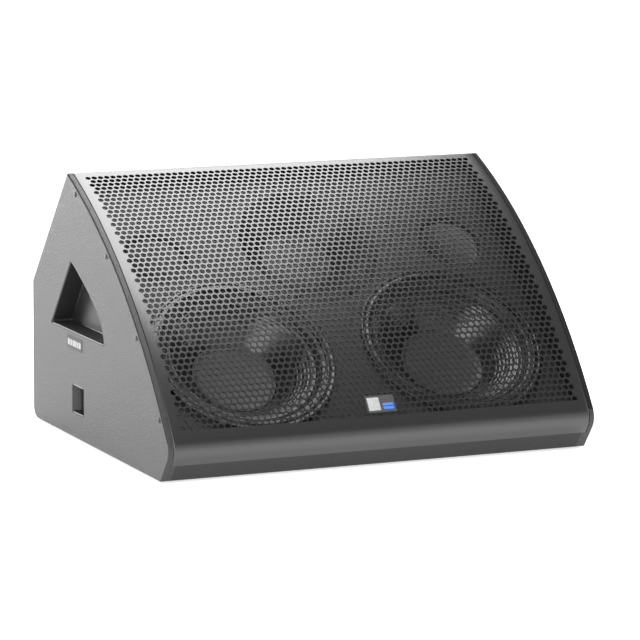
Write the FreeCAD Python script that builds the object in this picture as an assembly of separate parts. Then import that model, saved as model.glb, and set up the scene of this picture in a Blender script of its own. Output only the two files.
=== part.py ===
import FreeCAD, Part
import math
import os
from FreeCAD import Placement, Rotation, Vector

os.makedirs("parts", exist_ok=True)

# ---------------------------------------------------------------- driving dimensions (mm)
# The profile lies in the YZ plane: -Y is the front, z is counted from the cabinet's underside.
WIDTH = 752.6
BACK_Y = 316.4
KNEE_Z = 235.7
APEX = (145.2, 439.6)
NOSE = (-312.4, 53.0)
TOE_Y = -271.5
FACE_RISE = 45.3
FOOT_H = 3.0
CORNER_R = {"back_floor": 20.0, "knee": 6.0, "apex": 4.0, "nose": 30.0, "toe": 8.0}

SIDE_T = 18.0
BOARD_T = 15.0
BAFFLE_T = 18.0
NOSE_T = 18.0
EDGE_R = 2.0

SHEET_T = 1.5
LIP_T = 9.0
REBATE_DEPTH = 22.0
FLANGE_DEPTH = 20.0
FIT_GAP = 0.3
GRILLE_RETURN = 14.0
GRILLE_END = 0.46

BAFFLE_W = -19.0
WOOFER_X = 187.0
WOOFER_T = -103.5
WOOFER_R = 156.0
CUTOUT_R = 141.0
HORN_T = 133.1
HORN_R = 129.0
PORT_X = 267.0
PORT_T = 118.1
PORT_R = 60.0
BADGE_T = -245.0

POCKET_DEPTH = 35.0
CUP_T = 2.5
RECESS_DEPTH = 15.0

# ---------------------------------------------------------------- derived places
HALF = WIDTH / 2
INNER = HALF - SIDE_T
TOE = (TOE_Y, 0.0)
BACK_FLOOR = (BACK_Y, 0.0)
KNEE = (BACK_Y, KNEE_Z)
CHORD_MID = ((APEX[0] + NOSE[0]) / 2, (APEX[1] + NOSE[1]) / 2)
CHORD = math.hypot(APEX[0] - NOSE[0], APEX[1] - NOSE[1])
TILT = math.degrees(math.atan2(APEX[1] - NOSE[1], APEX[0] - NOSE[0]))
# Face frame: x across, t up the chord from its middle, w out of the chord.
FACE = Placement(Vector(0, *CHORD_MID), Rotation(Vector(1, 0, 0), TILT))
SLOPE_IN = CHORD / 2 - BOARD_T
BEVEL_LEN = math.hypot(TOE[0] - NOSE[0], TOE[1] - NOSE[1])
BEVEL_DOWN = ((TOE[0] - NOSE[0]) / BEVEL_LEN, (TOE[1] - NOSE[1]) / BEVEL_LEN)
BEVEL_IN = (-BEVEL_DOWN[1], BEVEL_DOWN[0])


# ---------------------------------------------------------------- helpers
def from_bevel(down, inward):
    """The point that lies so far down the bevel from the nose, and so far behind it."""
    return tuple(NOSE[i] + down * BEVEL_DOWN[i] + inward * BEVEL_IN[i] for i in (0, 1))


def from_face(t, w):
    """The YZ point of a place in the face frame."""
    p = FACE.multVec(Vector(0, t, w))
    return (p.y, p.z)


def prism(points, x0, x1):
    """A YZ polygon extruded from x0 to x1."""
    ring = [Vector(x0, y, z) for y, z in points]
    return Part.Face(Part.makePolygon(ring + ring[:1])).extrude(Vector(x1 - x0, 0, 0))


def box(x0, x1, y0, y1, z0, z1):
    return Part.makeBox(x1 - x0, y1 - y0, z1 - z0, Vector(x0, y0, z0))


def rod(r, start, direction, length):
    return Part.makeCylinder(r, length, Vector(*start), Vector(*direction))


def turned(points):
    """A closed (radius, height) polygon turned about the local Z axis."""
    ring = [Vector(r, 0, z) for r, z in points]
    face = Part.Face(Part.makePolygon(ring + ring[:1]))
    return face.revolve(Vector(0, 0, 0), Vector(0, 0, 1), 360)


def shell_of(points, thickness):
    """Turned skin: the open (radius, height) line with a second line below it."""
    return turned(points + [(r, z - thickness) for r, z in reversed(points)])


def on_face(shape, x=0.0, t=0.0, w=0.0):
    """Puts a shape from its own axes into the face frame, with +Z out of the face."""
    moved = shape.copy()
    moved.Placement = FACE.multiply(Placement(Vector(x, t, w), Rotation())).multiply(moved.Placement)
    return moved


def ring_of(shape, count, radius, phase=0.0):
    """Copies of a shape round the local Z axis."""
    copies = []
    for i in range(count):
        angle = phase + 360.0 * i / count
        copy = shape.copy()
        copy.translate(Vector(radius, 0, 0))
        copy.rotate(Vector(0, 0, 0), Vector(0, 0, 1), angle)
        copies.append(copy)
    return copies


def mirrored(shape):
    return shape.mirror(Vector(0, 0, 0), Vector(1, 0, 0))


def pipe(points, radius, bend):
    """A round lead along straight runs joined by tangent arcs."""
    pts = [Vector(*p) for p in points]
    edges = []
    last = pts[0]
    for before, corner, after in zip(pts, pts[1:], pts[2:]):
        a = (before - corner).normalize()
        b = (after - corner).normalize()
        half = a.getAngle(b) / 2
        back = bend / math.tan(half)
        start = corner + a * back
        end = corner + b * back
        centre = corner + (a + b).normalize() * (bend / math.sin(half))
        middle = centre + (corner - centre).normalize() * bend
        edges.append(Part.LineSegment(last, start).toShape())
        edges.append(Part.Arc(start, middle, end).toShape())
        last = end
    edges.append(Part.LineSegment(last, pts[-1]).toShape())
    circle = Part.Wire(Part.Circle(pts[0], pts[1] - pts[0], radius).toShape())
    return Part.Wire(edges).makePipeShell([circle], True, False)


def button_screw(head_r, head_h, shank_r, shank_l, socket_r):
    """A button-head socket screw: the head stands on z = 0, the shank goes down."""
    head = Part.makeCylinder(head_r, head_h)
    head = head.makeFillet(head_h * 0.8, [e for e in head.Edges if e.BoundBox.ZMin > head_h - 0.01])
    angles = [math.radians(60 * i) for i in range(7)]
    hexagon = Part.makePolygon([Vector(socket_r * math.cos(a), socket_r * math.sin(a), 0) for a in angles])
    socket = Part.Face(hexagon).extrude(Vector(0, 0, head_h))
    socket.translate(Vector(0, 0, head_h * 0.4))
    shank = Part.makeCylinder(shank_r, shank_l, Vector(0, 0, -shank_l))
    return head.cut(socket).fuse(shank).removeSplitter()


def face_y(shape, x, y, z):
    """Stands a shape made along +Z on a face that looks to +Y."""
    moved = shape.copy()
    moved.Placement = Placement(Vector(x, y, z), Rotation(Vector(1, 0, 0), -90))
    return moved


# ---------------------------------------------------------------- cabinet profile
def outline():
    """The side view, with one large arc for the face, before its corners are rounded."""
    top = Vector(0, *APEX)
    nose = Vector(0, *NOSE)
    middle = Vector(0, *from_face(0, FACE_RISE))
    corners = [Vector(0, *p) for p in (NOSE, TOE, BACK_FLOOR, KNEE, APEX)]
    edges = [Part.LineSegment(a, b).toShape() for a, b in zip(corners, corners[1:])]
    return Part.Wire(edges + [Part.Arc(top, middle, nose).toShape()])


def rounded_face():
    solid = Part.Face(outline()).extrude(Vector(1, 0, 0))
    places = {"back_floor": BACK_FLOOR, "knee": KNEE, "apex": APEX, "nose": NOSE, "toe": TOE}
    for name, (y, z) in places.items():
        corner = Vector(0.5, y, z)
        edge = [e for e in solid.Edges if e.CenterOfMass.distanceToPoint(corner) < 0.01]
        solid = solid.makeFillet(CORNER_R[name], edge)
    return [f for f in solid.Faces if f.BoundBox.XMax < 0.01][0]


PROFILE = rounded_face()
Y_MID = (PROFILE.BoundBox.YMin + PROFILE.BoundBox.YMax) / 2


def hull(inset, x0, x1):
    """The whole profile, moved in by inset, as a prism from x0 to x1."""
    wire = PROFILE.OuterWire
    if inset:
        wire = wire.makeOffset2D(-inset)
    solid = Part.Face(wire).extrude(Vector(x1 - x0, 0, 0))
    solid.translate(Vector(x0, 0, 0))
    return solid


def grille_zone(x0, x1):
    """Everything that lies where the grille's sheet goes round the face."""
    end = GRILLE_END * BEVEL_LEN
    points = [
        from_face(CHORD / 2 + 15, -GRILLE_RETURN),
        from_face(-240, -GRILLE_RETURN),
        from_bevel(end, 30),
        from_bevel(end, -10),
        (-450, -50),
        (-450, 650),
        (300, 650),
    ]
    return prism(points, x0, x1)


def band(depth, x0, x1):
    """The outermost layer of the face, from the grille's top return to its lower end."""
    layer = hull(0, x0, x1).cut(hull(depth, x0 - 1, x1 + 1))
    return layer.common(grille_zone(x0 - 1, x1 + 1))


def nose_strip(x0, x1):
    points = [from_bevel(-40, -5), from_bevel(110, -5), from_bevel(110, NOSE_T), from_bevel(-40, NOSE_T)]
    return prism(points, x0, x1)


# ---------------------------------------------------------------- handle pocket and side recess
def pocket_wire():
    """Rounded triangle: flat floor, straight back edge, front edge that bends more and more."""
    floor_z = 178.6
    back = Vector(0, 222.5, floor_z)
    peak = Vector(0, 129.6, 293.2)
    belly = Vector(0, 22.5, 236.5)
    front = Vector(0, -22.2, floor_z)
    return Part.Wire([
        Part.LineSegment(front, back).toShape(),
        Part.LineSegment(back, peak).toShape(),
        Part.Arc(peak, Vector(0, 60.8, 259.2), belly).toShape(),
        Part.Arc(belly, Vector(0, -6.7, 211.6), front).toShape(),
    ])


def recess_wire():
    y0, y1, z0, z1 = 72.4, 122.9, 43.7, 87.4
    return Part.makePolygon([Vector(0, *p) for p in ((y0, z0), (y1, z0), (y1, z1), (y0, z1), (y0, z0))])


def from_wire(wire, grow, x0, x1):
    grown = wire.makeOffset2D(grow) if grow else wire
    solid = Part.Face(grown).extrude(Vector(x1 - x0, 0, 0))
    solid.translate(Vector(x0, 0, 0))
    return solid


def cup(wire, depth):
    """A moulded liner: it fills the cut-out, with a flange behind the side panel (right side)."""
    rim = HALF - 0.6
    back = min(HALF - depth, INNER) - CUP_T
    shell = from_wire(wire, CUP_T, back, rim)
    shell = shell.fuse(from_wire(wire, CUP_T + 12, INNER - CUP_T, INNER)).removeSplitter()
    return shell.cut(from_wire(wire, 0, HALF - depth, HALF + 1))


def side_screw_places():
    """Four fixing screws, 13 mm inside the face's arc."""
    radius = (CHORD ** 2 / 4 + FACE_RISE ** 2) / (2 * FACE_RISE)
    places = []
    for angle in (14.5, 5.1, -4.9, -13.6):
        a = math.radians(angle)
        t, w = (radius - 13) * math.sin(a), (radius - 13) * math.cos(a) - radius + FACE_RISE
        places.append(from_face(t, w))
    return places


def side_panel():
    panel = hull(0, INNER, HALF)
    outer = [e for e in panel.Edges if e.BoundBox.XMin > HALF - 0.01]
    panel = panel.makeFillet(EDGE_R, outer)
    panel = panel.cut(band(REBATE_DEPTH, INNER - 1, HALF - LIP_T))
    panel = panel.cut(from_wire(pocket_wire(), CUP_T, INNER - 1, HALF + 1))
    panel = panel.cut(from_wire(recess_wire(), CUP_T, INNER - 1, HALF + 1))
    for y, z in side_screw_places():
        panel = panel.cut(rod(2.1, (INNER - 1, y, z), (1, 0, 0), SIDE_T + 2))
    return panel


# ---------------------------------------------------------------- boards between the sides
def bottom_panel():
    low = from_bevel(BEVEL_LEN, NOSE_T)
    slant = (BOARD_T - low[1]) / BEVEL_DOWN[1]
    high = (low[0] + slant * BEVEL_DOWN[0], BOARD_T)
    foot = (low[0] - low[1] / BEVEL_DOWN[1] * BEVEL_DOWN[0], 0)
    points = [foot, high, (BACK_Y - BOARD_T, BOARD_T), (BACK_Y, 0)]
    board = prism(points, -INNER, INNER).common(hull(0, -INNER, INNER))
    for x, y in foot_places():
        board = board.cut(rod(2.0, (x, y, -1), (0, 0, 1), 12))
    return board


def knee_inside():
    """Where the back board's and the slope board's inner faces meet."""
    y = BACK_Y - BOARD_T
    start = from_face(SLOPE_IN, 0)
    down = from_face(SLOPE_IN, -100)
    share = (y - start[0]) / (down[0] - start[0])
    return (y, start[1] + share * (down[1] - start[1]))


def back_panel():
    points = [
        (BACK_Y - BOARD_T, BOARD_T), (BACK_Y, 0), (BACK_Y + 9, 0), (BACK_Y + 9, KNEE_Z), KNEE, knee_inside(),
    ]
    board = prism(points, -INNER, INNER).common(hull(0, -INNER, INNER))
    board = board.cut(box(-AMP_HALF + 12, AMP_HALF - 12, 200, 400, AMP_Z0 + 12, AMP_Z1 - 12))
    for x, z in tray_screw_places():
        board = board.cut(rod(1.9, (x, RIM_Y - 14, z), (0, 1, 0), 20))
    return board.cut(box(-AMP_HALF, AMP_HALF, RIM_Y - RIM_T, 400, AMP_Z0, AMP_Z1))


def slope_panel():
    points = [
        knee_inside(), KNEE, (KNEE[0] + 9, KNEE[1]), from_face(CHORD / 2 + 9, 5), from_face(SLOPE_IN, 5),
    ]
    board = prism(points, -INNER, INNER).common(hull(0, -INNER, INNER))
    return board.cut(band(SHEET_T, -INNER - 1, INNER + 1))


def nose_panel():
    board = nose_strip(-INNER, INNER).common(hull(0, -INNER, INNER))
    return board.cut(band(SHEET_T, -INNER - 1, INNER + 1))


def nose_rail():
    points = [from_face(-335, BAFFLE_W), from_face(-264, BAFFLE_W), from_face(-264, 30), from_face(-335, 30)]
    rail = prism(points, -INNER, INNER).common(hull(SHEET_T, -INNER, INNER))
    return rail.cut(nose_strip(-INNER - 1, INNER + 1))


def baffle():
    low, high = -310.0, SLOPE_IN
    back, front = BAFFLE_W - BAFFLE_T, BAFFLE_W
    points = [from_face(low, back), from_face(high, back), from_face(high, front), from_face(low, front)]
    board = prism(points, -INNER, INNER).common(hull(0, -INNER, INNER))
    board = board.cut(nose_strip(-INNER - 1, INNER + 1))
    through = []
    for side in (-1, 1):
        through.append(on_face(Part.makeCylinder(CUTOUT_R + 1, 60), side * WOOFER_X, WOOFER_T, BAFFLE_W - 40))
        through.append(on_face(Part.makeCylinder(PORT_R - 5.5, 60), side * PORT_X, PORT_T, BAFFLE_W - 40))
        through.append(on_face(Part.makeCylinder(PORT_R, 10), side * PORT_X, PORT_T, BAFFLE_W - 3))
    through.append(on_face(Part.makeCylinder(HORN_R - 11, 60), 0, HORN_T, BAFFLE_W - 40))
    through.append(on_face(Part.makeCylinder(HORN_R + 0.2, 10), 0, HORN_T, BAFFLE_W - 3))
    board = board.cut(through)
    for screw in woofer_screws() + horn_screws():
        board = board.cut(screw)
    return board


def battens():
    """Glued battens: two behind the baffle's ends, one in each lower back corner."""
    w1 = BAFFLE_W - BAFFLE_T
    pieces = []
    for x0 in (-INNER, INNER - 18):
        side = [from_face(-228, w1 - 20), from_face(230, w1 - 20), from_face(230, w1), from_face(-228, w1)]
        pieces.append(prism(side, x0, x0 + 18))
    corner = [(BACK_Y - BOARD_T - 22, BOARD_T), (BACK_Y - BOARD_T, BOARD_T), (BACK_Y - BOARD_T, BOARD_T + 22)]
    pieces.append(prism(corner, -INNER, INNER))
    top = [from_face(SLOPE_IN - 20, w1), from_face(SLOPE_IN, w1), from_face(SLOPE_IN, w1 - 20)]
    pieces.append(prism(top, -INNER + 18, INNER - 18))
    return Part.makeCompound(pieces)


# ---------------------------------------------------------------- grille
def grille():
    edge = HALF - LIP_T - FIT_GAP
    sheet = band(SHEET_T, -edge, edge)
    right = band(FLANGE_DEPTH, edge - SHEET_T, edge)
    sheet = sheet.fuse([right, mirrored(right)]).removeSplitter()
    for y, z in side_screw_places():
        sheet = sheet.cut(rod(2.1, (-HALF, y, z), (1, 0, 0), WIDTH))
    return sheet


def grille_screws():
    screw = button_screw(4.0, 1.8, 1.9, 11.0, 1.4)
    pieces = []
    for y, z in side_screw_places():
        one = screw.copy()
        one.Placement = Placement(Vector(HALF, y, z), Rotation(Vector(0, 1, 0), 90))
        pieces.extend([one, mirrored(one)])
    return Part.makeCompound(pieces)


def grille_foam():
    """Damping strips that the sheet rests on, in the rebates of both side panels."""
    x0, x1 = INNER + 0.5, HALF - LIP_T - FIT_GAP - SHEET_T - 0.5
    strip = hull(SHEET_T, x0, x1).cut(hull(REBATE_DEPTH, x0 - 1, x1 + 1))
    reach = [from_face(-255, -60), from_face(255, -60), from_face(255, 60), from_face(-255, 60)]
    strip = strip.common(prism(reach, x0, x1)).common(grille_zone(x0, x1))
    return Part.makeCompound([strip, mirrored(strip)])


def badge():
    """A small blank plate on the grille, curved like it on its back."""
    plate = box(-25, 25, -14.2, 14.2, 0, 30)
    plate = on_face(plate, 0, BADGE_T, 0)
    plate = plate.common(on_face(box(-40, 40, -60, 60, 0, 60), 0, BADGE_T, 0))
    radius = (CHORD ** 2 / 4 + FACE_RISE ** 2) / (2 * FACE_RISE)
    centre = FACE.multVec(Vector(0, 0, FACE_RISE - radius))
    start = centre + Vector(-100, 0, 0)
    outer = Part.makeCylinder(radius + 2.0, 200, start, Vector(1, 0, 0))
    inner = Part.makeCylinder(radius, 200, start, Vector(1, 0, 0))
    plate = plate.common(outer).cut(inner)
    return plate.cut(hull(0, -50, 50))


def label_plate():
    return box(-HALF - 0.5, -HALF, 78.4, 148.4, 148.2, 169.8)


# ---------------------------------------------------------------- woofers
# Each driver has its own axes: z = 0 is the baffle's front, +z comes out of it.
CONE_RIM = (122.0, -5.0)
CAP_RIM = (70.0, -50.5)
COIL_R = 50.0
SPIDER_OUT = (86.0, -64.0)
SPIDER_IN = (COIL_R + 1.4, -72.0)
MOTOR_TOP = -84.0
MOTOR_R = 62.0
MOTOR_END = -124.0
TERMINAL = (124.0, -48.0)


def woofer_basket():
    """Cast frame: flange, six ribs with windows between them, spider ledge, motor plate."""
    flange = turned([(CUTOUT_R - 5, 0), (WOOFER_R, 0), (WOOFER_R, 4), (CUTOUT_R - 5, 4)])
    wall = turned([
        (CUTOUT_R - 5, 4), (CUTOUT_R, 0), (CUTOUT_R, -8), (94, -66), (90, MOTOR_TOP), (56, MOTOR_TOP),
        (56, MOTOR_TOP + 5), (84, MOTOR_TOP + 5), (84, -67), (88, -65), (CUTOUT_R - 5, -6),
    ])
    window = turned([(70, -74), (150, -74), (150, -79), (70, -79)])
    frame = wall.fuse(flange)
    for angle in range(0, 360, 60):
        opening = Part.makeBox(90, 62, 44, Vector(80, -31, -58))
        opening.rotate(Vector(0, 0, 0), Vector(0, 0, 1), angle)
        frame = frame.cut(opening)
    for angle in range(30, 360, 60):
        vent = window.common(Part.makeBox(120, 50, 10, Vector(50, -25, -80)).rotated(
            Vector(0, 0, 0), Vector(0, 0, 1), angle))
        frame = frame.cut(vent)
    for hole in ring_of(Part.makeCylinder(2.6, 30, Vector(0, 0, -15)), 8, 148.5, 22.5):
        frame = frame.cut(hole)
    return frame.removeSplitter()


def woofer_gasket():
    ring = turned([
        (CUTOUT_R, 5), (WOOFER_R, 5), (WOOFER_R, 8.6), (WOOFER_R - 1, 9.5),
        (CUTOUT_R + 1, 9.5), (CUTOUT_R, 8.6),
    ])
    for hole in ring_of(Part.makeCylinder(5.2, 20), 8, 148.5, 22.5):
        ring = ring.cut(hole)
    return ring


def woofer_surround():
    """Rippled cloth ring, from its clamped edge down to the cone's rim."""
    clamp_r, inner_r, high, low = CUTOUT_R - 5.6, CONE_RIM[0] + 2, 4.9, -3.7
    line = [(CUTOUT_R + 1.5, high)]
    steps = 24
    for i in range(steps + 1):
        share = i / steps
        ripple = 1.2 * math.sin(share * 3 * math.pi * 2) * math.sin(share * math.pi)
        line.append((clamp_r + (inner_r - clamp_r) * share, high + (low - high) * share + ripple))
    line.append((CONE_RIM[0] - 3, low))
    return shell_of(line, 0.8)


def woofer_cone():
    """Paper cone that flares: flat at its rim, steeper towards the dust cap and the voice coil."""
    neck_slope, rim_slope = 1.25, 0.56
    reach = CONE_RIM[0] - 3 - CAP_RIM[0]
    flare = [(COIL_R, -62.0), (62, -55.5)]
    for i in range(13):
        out = reach * i / 12
        rise = neck_slope * out - (neck_slope - rim_slope) * out ** 2 / (2 * reach)
        flare.append((CAP_RIM[0] + out, CAP_RIM[1] + rise))
    flare.append(CONE_RIM)
    return shell_of(flare[::-1], 1.0)


def woofer_dust_cap():
    """Flat disc with an upturned rim that stands on the cone."""
    r, z = CAP_RIM
    return turned([
        (0, z - 2.5), (r - 9, z - 2.5), (r - 0.8, z + 1.7), (r, z + 0.9), (r - 8.4, z - 3.5), (0, z - 3.5),
    ])


def woofer_voice_coil():
    former = turned([(COIL_R, -63.2), (COIL_R + 1, -63.2), (COIL_R + 1, -88), (COIL_R + 2.2, -88),
                     (COIL_R + 2.2, -104), (COIL_R, -104)])
    return former


def woofer_spider():
    """Corrugated ring that centres the coil, cupped towards the motor."""
    line = [SPIDER_OUT]
    for i in range(1, 12):
        share = i / 12
        r = SPIDER_OUT[0] + (SPIDER_IN[0] - SPIDER_OUT[0]) * share
        z = SPIDER_OUT[1] + (SPIDER_IN[1] - SPIDER_OUT[1]) * share
        line.append((r, z + 1.3 * math.sin(share * 4 * math.pi * 2)))
    line.append(SPIDER_IN)
    return shell_of(line, 0.8)


def woofer_motor():
    """Steel pot with its gap plate, and the magnet disc and pole inside it."""
    gap_r = COIL_R + 3.6
    pot = turned([
        (gap_r, MOTOR_TOP), (MOTOR_R, MOTOR_TOP), (MOTOR_R, MOTOR_END + 2), (MOTOR_R - 2, MOTOR_END),
        (0, MOTOR_END), (0, MOTOR_END + 9), (gap_r, MOTOR_END + 9),
    ])
    magnet = Part.makeCylinder(COIL_R - 3, 14, Vector(0, 0, MOTOR_END + 9))
    pole = Part.makeCylinder(COIL_R - 1.3, 15, Vector(0, 0, MOTOR_END + 23))
    return Part.makeCompound([pot, magnet, pole])


def woofer_terminals():
    """One terminal block on the upper rib of each basket."""
    block = Part.makeBox(20, TERMINAL[0] - 100, 12, Vector(-10, 100, TERMINAL[1] - 6))
    block = block.cut(turned([(0, -8), (CUTOUT_R, -8), (94, -66), (0, -66)]))
    return Part.makeCompound([on_face(block, side * WOOFER_X, WOOFER_T, BAFFLE_W) for side in (-1, 1)])


def woofer_screws():
    screw = button_screw(4.6, 3.0, 2.4, 18.0, 1.9)
    pieces = []
    for side in (-1, 1):
        for one in ring_of(screw, 8, 148.5, 22.5):
            pieces.append(on_face(one, side * WOOFER_X, WOOFER_T, BAFFLE_W + 4))
    return pieces


# ---------------------------------------------------------------- horn, driver and ports
SCREEN_Z = -45.0
THROAT_Z = -108.0
DRIVER_R = 58.0


def horn():
    """Round waveguide: cone to the screen, curved throat, flange for the driver."""
    inside = [
        (112, 0), (61, SCREEN_Z + 1.2), (61, SCREEN_Z), (56, SCREEN_Z), (38, -70), (25, -92), (19, THROAT_Z),
    ]
    outside = [
        (46, THROAT_Z), (46, THROAT_Z + 7), (28, THROAT_Z + 7), (42, -74), (60, -50), (66, SCREEN_Z - 2),
        (116, -3), (HORN_R, -3), (HORN_R, -0.8), (HORN_R - 0.8, 0),
    ]
    body = turned(inside + outside)
    return body.cut(ring_of(Part.makeCylinder(2.3, 20, Vector(0, 0, -10)), 8, 122.5, 22.5))


def throat_screen():
    return Part.makeCylinder(60.8, 1.0, Vector(0, 0, SCREEN_Z))


def compression_driver():
    """Motor of the high driver: throat, phase plug with ring slots, and the chamber behind."""
    body = turned([
        (19, THROAT_Z), (DRIVER_R - 2, THROAT_Z), (DRIVER_R, THROAT_Z - 2), (DRIVER_R, -160), (46, -160),
        (46, -152), (43, -150), (43, -140), (40, -140), (30, -146), (19, -148.5),
    ])
    return body


def hf_diaphragm():
    """Dome, its clamped rim left free to move, and its short coil former."""
    dome = shell_of([(0.001, -153.5), (12, -152.9), (24, -151.0), (34, -147.6), (40.5, -144.4)], 0.4)
    former = turned([(40.5, -144.4), (41.3, -144.4), (41.3, -150), (40.5, -150)])
    return dome.fuse(former)


def driver_cap():
    return turned([
        (0, -168), (0, -172), (DRIVER_R - 4, -172), (DRIVER_R, -168), (DRIVER_R, -160),
        (46, -160), (46, -168),
    ])


def horn_screws():
    screw = button_screw(4.2, 2.4, 2.1, 16.0, 1.6)
    return [on_face(one, 0, HORN_T, BAFFLE_W) for one in ring_of(screw, 8, 122.5, 22.5)]


def port_tube():
    """Flared port with its rim let into the baffle."""
    return turned([
        (57, 0), (53, -4), (51, -10), (50, -18), (50, -130), (53, -130), (53, -20), (54.3, -12),
        (54.3, -3), (PORT_R - 0.2, -3), (PORT_R - 0.2, -0.6), (PORT_R - 0.8, 0),
    ])


# ---------------------------------------------------------------- amplifier module in the back
AMP_HALF = 172.0
AMP_Z0 = 28.0
AMP_Z1 = 204.0
RIM_T = 3.0
TRAY_DEPTH = 28.0
TRAY_T = 2.0
TRAY_HALF = AMP_HALF - 17.0
TRAY_Z0 = AMP_Z0 + 17.0
TRAY_Z1 = AMP_Z1 - 17.0
RIM_Y = BACK_Y - 2.2
TRAY_FLOOR = BACK_Y - TRAY_DEPTH
LEAD_Y = 236.0
CONNECTORS = {"audio_input": (68.0, 146.0), "audio_loop": (112.0, 146.0), "power_inlet": (68.0, 96.0),
              "power_loop": (112.0, 96.0)}


def tray_screw_places():
    xs = (-AMP_HALF + 8, -AMP_HALF / 3, AMP_HALF / 3, AMP_HALF - 8)
    zs = (AMP_Z0 + 8, AMP_Z1 - 8)
    places = [(x, z) for x in xs for z in zs]
    middle = (AMP_Z0 + AMP_Z1) / 2
    return places + [(-AMP_HALF + 8, middle), (AMP_HALF - 8, middle)]


def connector_screw_places():
    places = []
    for x, z in CONNECTORS.values():
        places.extend([(x - 9.5, z + 12), (x + 9.5, z - 12)])
    return places


def amp_tray():
    """Sunk metal tray: rim on the back board, walls, and the floor that carries the sockets."""
    g = FIT_GAP
    rim = box(-AMP_HALF + g, AMP_HALF - g, RIM_Y - RIM_T, RIM_Y, AMP_Z0 + g, AMP_Z1 - g)
    tub = box(-TRAY_HALF - TRAY_T, TRAY_HALF + TRAY_T, TRAY_FLOOR - TRAY_T, RIM_Y - RIM_T,
              TRAY_Z0 - TRAY_T, TRAY_Z1 + TRAY_T)
    tray = rim.fuse(tub).removeSplitter()
    tray = tray.cut(box(-TRAY_HALF, TRAY_HALF, TRAY_FLOOR, 400, TRAY_Z0, TRAY_Z1))
    for x, z in CONNECTORS.values():
        tray = tray.cut(rod(11.9, (x, TRAY_FLOOR - 10, z), (0, 1, 0), 20))
    for x, z in led_places():
        tray = tray.cut(rod(2.6, (x, TRAY_FLOOR - 10, z), (0, 1, 0), 20))
    for x, z in tray_screw_places():
        tray = tray.cut(rod(2.1, (x, RIM_Y - 10, z), (0, 1, 0), 20))
    for x, z in connector_screw_places():
        tray = tray.cut(rod(1.4, (x, TRAY_FLOOR - 10, z), (0, 1, 0), 20))
    return tray


def amp_heatsink():
    """Finned extrusion on the tray's floor, below the level of the rim."""
    x0, x1, z0, z1 = -146.0, 30.0, TRAY_Z0 + 10, TRAY_Z1 - 10
    sink = box(x0, x1, TRAY_FLOOR, TRAY_FLOOR + 5, z0, z1)
    fins = []
    count = 16
    for i in range(count):
        x = x0 + 1.5 + i * (x1 - x0 - 3) / (count - 1)
        fins.append(box(x - 1.2, x + 1.2, TRAY_FLOOR + 5, TRAY_FLOOR + 24, z0, z1))
    return sink.fuse(fins).removeSplitter()


def amp_chassis():
    """Folded steel cover behind the tray, open towards it."""
    y0, y1 = 206.0, TRAY_FLOOR - TRAY_T
    z0, z1 = TRAY_Z0 + 4, TRAY_Z1 - 6
    outer = box(-150, 150, y0, y1, z0, z1)
    cover = outer.cut(box(-148.5, 148.5, y0 + 1.5, y1 + 1, z0 + 1.5, z1 - 1.5))
    slot = box(-2, 2, y0 - 1, y0 + 3, z0 + 25, z1 - 25)
    for i in range(-6, 7):
        vent = slot.copy()
        vent.translate(Vector(i * 20.0, 0, 0))
        cover = cover.cut(vent)
    return cover.cut(rod(10.0, (0, LEAD_Y, z1 - 5), (0, 0, 1), 10))


def amp_board():
    """Circuit board with its large capacitors and power chips, on four pillars."""
    y = TRAY_FLOOR - TRAY_T - 48.0
    board = box(-140, 60, y, y + 1.6, 62, 168)
    parts = [board]
    for i in range(4):
        parts.append(rod(11, (-118 + 27 * i, y, 88), (0, -1, 0), 20))
    for i in range(6):
        parts.append(box(-132 + 30 * i, -116 + 30 * i, y - 6, y, 140, 160))
    for x in (-134, 54):
        for z in (68, 162):
            parts.append(rod(3, (x, y + 1.6, z), (0, 1, 0), TRAY_FLOOR - TRAY_T - y - 1.6))
    return Part.makeCompound(parts)


def power_transformer():
    """Toroid on the cover's inner face, with its clamp disc and bolt."""
    x, z = 104.0, 116.0
    ring = turned([(14, 0), (38, 0), (40, 3), (40, 25), (38, 28), (14, 28)])
    disc = Part.makeCylinder(24, 2, Vector(0, 0, 28)).cut(Part.makeCylinder(3.1, 10, Vector(0, 0, 25)))
    bolt = Part.makeCylinder(3, 32).fuse(Part.makeCylinder(5, 4, Vector(0, 0, 30)))
    return Part.makeCompound([face_y(s, x, 207.5, z) for s in (ring, disc, bolt)])


def socket_flange():
    plate = Part.makeBox(26, 31, 2.4, Vector(-13, -15.5, 0))
    plate = plate.makeFillet(3.0, [e for e in plate.Edges if e.BoundBox.ZLength > 2.3])
    return plate.fuse(Part.makeCylinder(11.7, 24, Vector(0, 0, -24)))


def drill_flange(body):
    for x, z in ((-9.5, 12), (9.5, -12)):
        body = body.cut(Part.makeCylinder(1.6, 10, Vector(x, -z, -3)))
    return body


def audio_input():
    """Female socket: deep round bore, insert with three contact holes, slot for the latch tab."""
    body = drill_flange(socket_flange()).cut(Part.makeCylinder(9.8, 13, Vector(0, 0, -10)))
    insert = Part.makeCylinder(7.6, 9.5, Vector(0, 0, -10))
    for angle in (90, 210, 330):
        a = math.radians(angle)
        insert = insert.cut(Part.makeCylinder(1.4, 12, Vector(3.9 * math.cos(a), 3.9 * math.sin(a), -8)))
    body = body.cut(Part.makeBox(8.6, 4.0, 8, Vector(-4.3, -14.6, 0)))
    return face_y(body.fuse(insert).removeSplitter(), CONNECTORS["audio_input"][0], TRAY_FLOOR,
                  CONNECTORS["audio_input"][1])


def latch_tab():
    """The release tab above the input's bore, which is pushed in."""
    tab = Part.makeBox(8.0, 3.4, 4.8, Vector(-4.0, -14.3, 1.7))
    tab = tab.makeFillet(0.8, [e for e in tab.Edges if e.BoundBox.ZMin > 6.4])
    return face_y(tab, CONNECTORS["audio_input"][0], TRAY_FLOOR, CONNECTORS["audio_input"][1])


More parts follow.
